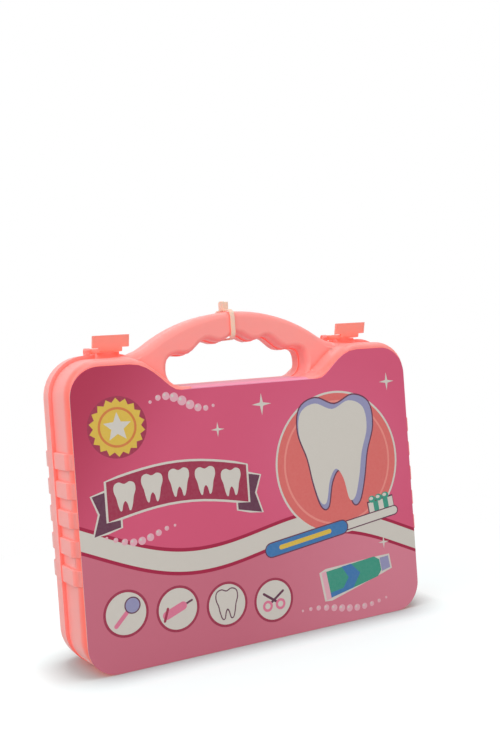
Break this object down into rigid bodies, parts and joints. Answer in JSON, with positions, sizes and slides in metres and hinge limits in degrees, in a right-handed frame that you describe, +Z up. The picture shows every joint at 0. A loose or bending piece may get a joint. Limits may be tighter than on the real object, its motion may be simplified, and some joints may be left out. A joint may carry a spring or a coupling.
{
  "type": "toy dentist kit case",
  "caption": "Closed pink clamshell carry case with a scalloped handle, two flip latches, a printed front card and a cable tie, holding toy dentist tools.",
  "frame": {"origin": "on the floor below the middle of the case, in the plane where its two halves meet", "axes": "+X to the right as seen from the front, -Y towards the printed card, +Z up to the handle"},
  "size_m": [0.264, 0.056, 0.2328],
  "materials": {
    "pink_case_plastic": "glossy moulded polypropylene, slightly translucent salmon pink",
    "pink_latch_plastic": "glossy moulded polypropylene, salmon pink",
    "pink_tool_plastic": "glossy moulded plastic, pink",
    "white_plastic": "glossy moulded plastic, white",
    "gum_plastic": "glossy moulded plastic, gum red",
    "grey_plastic": "satin moulded plastic, light grey",
    "printed_card_stock": "coated paperboard with a printed crimson and pink design",
    "natural_nylon": "natural nylon, translucent cream",
    "mirror_film": "silvered plastic film"
  },
  "bodies": {
    "tray": {"rear_shell": "pink_case_plastic", "cable_tie": "natural_nylon", "lower_gum": "gum_plastic", "lower_teeth": "white_plastic", "jaw_pin": "white_plastic", "syringe_nozzle": "pink_tool_plastic", "syringe_barrel": "white_plastic", "scissor_half_fixed": "grey_plastic", "scissor_rivet": "white_plastic", "glasses_frame": "pink_tool_plastic", "glasses_pin_left": "white_plastic", "glasses_pin_right": "white_plastic", "mirror_handle": "white_plastic", "mirror_disc": "mirror_film", "drill_body": "pink_tool_plastic", "drill_neck": "white_plastic", "drill_bur": "grey_plastic", "polisher_head": "white_plastic", "polisher_handle": "pink_tool_plastic", "brush_handle": "pink_tool_plastic", "brush_bristles": "white_plastic", "play_tooth_left": "white_plastic", "play_tooth_right": "white_plastic"},
    "lid": {"front_shell": "pink_case_plastic", "printed_card": "printed_card_stock"},
    "latch_left": {"latch_left": "pink_latch_plastic"},
    "latch_right": {"latch_right": "pink_latch_plastic"},
    "upper_jaw": {"upper_gum": "gum_plastic", "upper_teeth": "white_plastic"},
    "plunger": {"plunger_rod": "pink_tool_plastic", "plunger_seal": "grey_plastic"},
    "scissor_half": {"scissor_half_moving": "grey_plastic"},
    "temple_left": {"temple_left": "pink_tool_plastic"},
    "temple_right": {"temple_right": "pink_tool_plastic"}
  },
  "joints": [
    {"name": "lid_hinge", "type": "hinge", "parent": "tray", "child": "lid", "pos_m": [0, 0, 0.0028], "axis": [1, 0, 0], "range_deg": [0, 100], "deforming": ["cable_tie"]},
    {"name": "latch_left_hinge", "type": "hinge", "parent": "tray", "child": "latch_left", "pos_m": [-0.092, 0.009, 0.2032], "axis": [-1, 0, 0], "range_deg": [0, 110]},
    {"name": "latch_right_hinge", "type": "hinge", "parent": "tray", "child": "latch_right", "pos_m": [0.092, 0.009, 0.2032], "axis": [-1, 0, 0], "range_deg": [0, 110]},
    {"name": "jaw_hinge", "type": "hinge", "parent": "tray", "child": "upper_jaw", "pos_m": [-0.066, 0.0155, 0.02445], "axis": [-1, 0, 0], "range_deg": [0, 30]},
    {"name": "plunger_slide", "type": "slide", "parent": "tray", "child": "plunger", "axis": [1, 0, 0], "range_m": [-0.03, 0.025]},
    {"name": "scissor_pivot", "type": "hinge", "parent": "tray", "child": "scissor_half", "pos_m": [0.072, 0.0201, 0.081], "axis": [0, 1, 0], "range_deg": [0, 30]},
    {"name": "temple_left_hinge", "type": "hinge", "parent": "tray", "child": "temple_left", "pos_m": [-0.0128, -0.009, 0.013], "axis": [0, 1, 0], "range_deg": [0, 90]},
    {"name": "temple_right_hinge", "type": "hinge", "parent": "tray", "child": "temple_right", "pos_m": [0.0908, -0.009, 0.0176], "axis": [0, -1, 0], "range_deg": [0, 90]}
  ]
}
